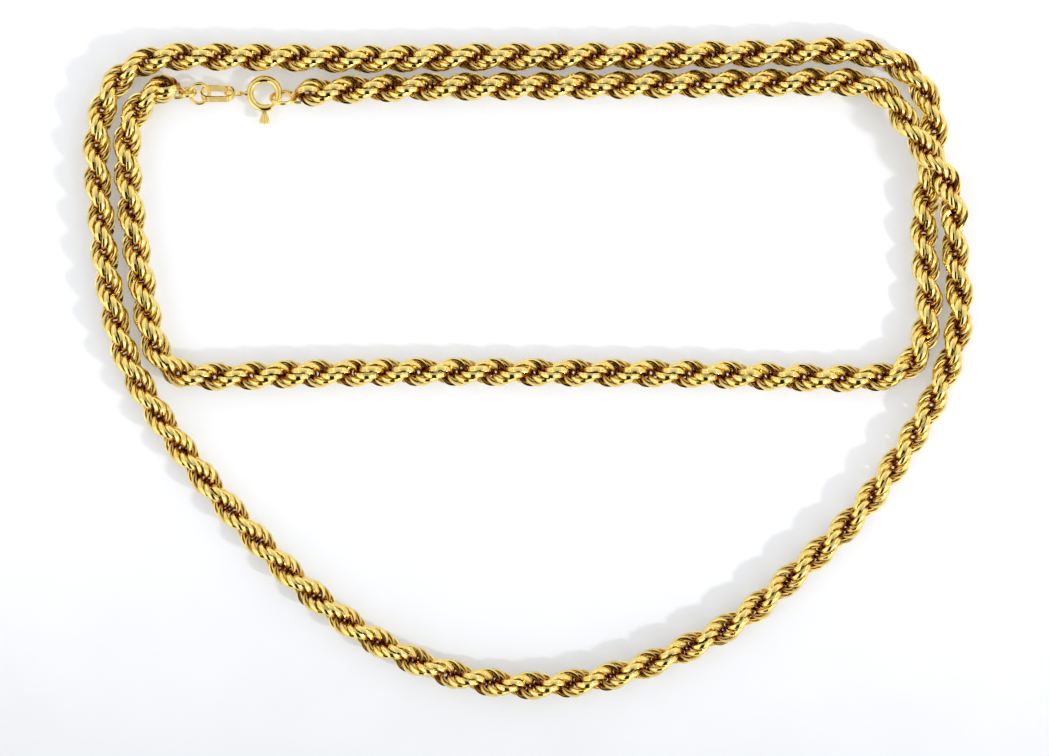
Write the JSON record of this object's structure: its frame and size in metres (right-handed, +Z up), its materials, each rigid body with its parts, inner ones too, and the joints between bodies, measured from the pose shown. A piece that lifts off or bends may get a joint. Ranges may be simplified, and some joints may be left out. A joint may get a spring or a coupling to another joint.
{
  "type": "gold rope chain with spring ring clasp, laid on a surface",
  "caption": "Long gold rope chain closed by a spring ring clasp with jump rings and a tag link, laid flat in two turns with one crossing.",
  "frame": {"origin": "on the surface that the chain lies on, under the centre of its bounding box", "axes": "+Z up from the surface; +X along the straight runs, towards the crossing's side; +Y towards the clasp's run"},
  "size_m": [0.149, 0.1108, 0.0096],
  "materials": {
    "rope_gold": "polished yellow gold links with flat cut outer faces",
    "fitting_gold": "polished yellow gold wire and strip",
    "clasp_gold": "polished, slightly paler yellow gold tube"
  },
  "bodies": {
    "chain": {"rope_first_half": "rope_gold", "rope_second_half": "rope_gold", "end_ring": "fitting_gold", "jump_ring": "fitting_gold", "tag_link": "fitting_gold", "clasp_ring": "clasp_gold", "hook_ring": "fitting_gold"},
    "gate": {"clasp_gate": "clasp_gold"}
  },
  "joints": [
    {"name": "gate_slide", "type": "hinge", "parent": "chain", "child": "gate", "pos_m": [-0.0441, 0.0459, 0.0017], "axis": [0, 0, -1], "range_deg": [0, 39], "stiffness_Nm_per_rad": 0.004, "springref_deg": -17.19}
  ]
}
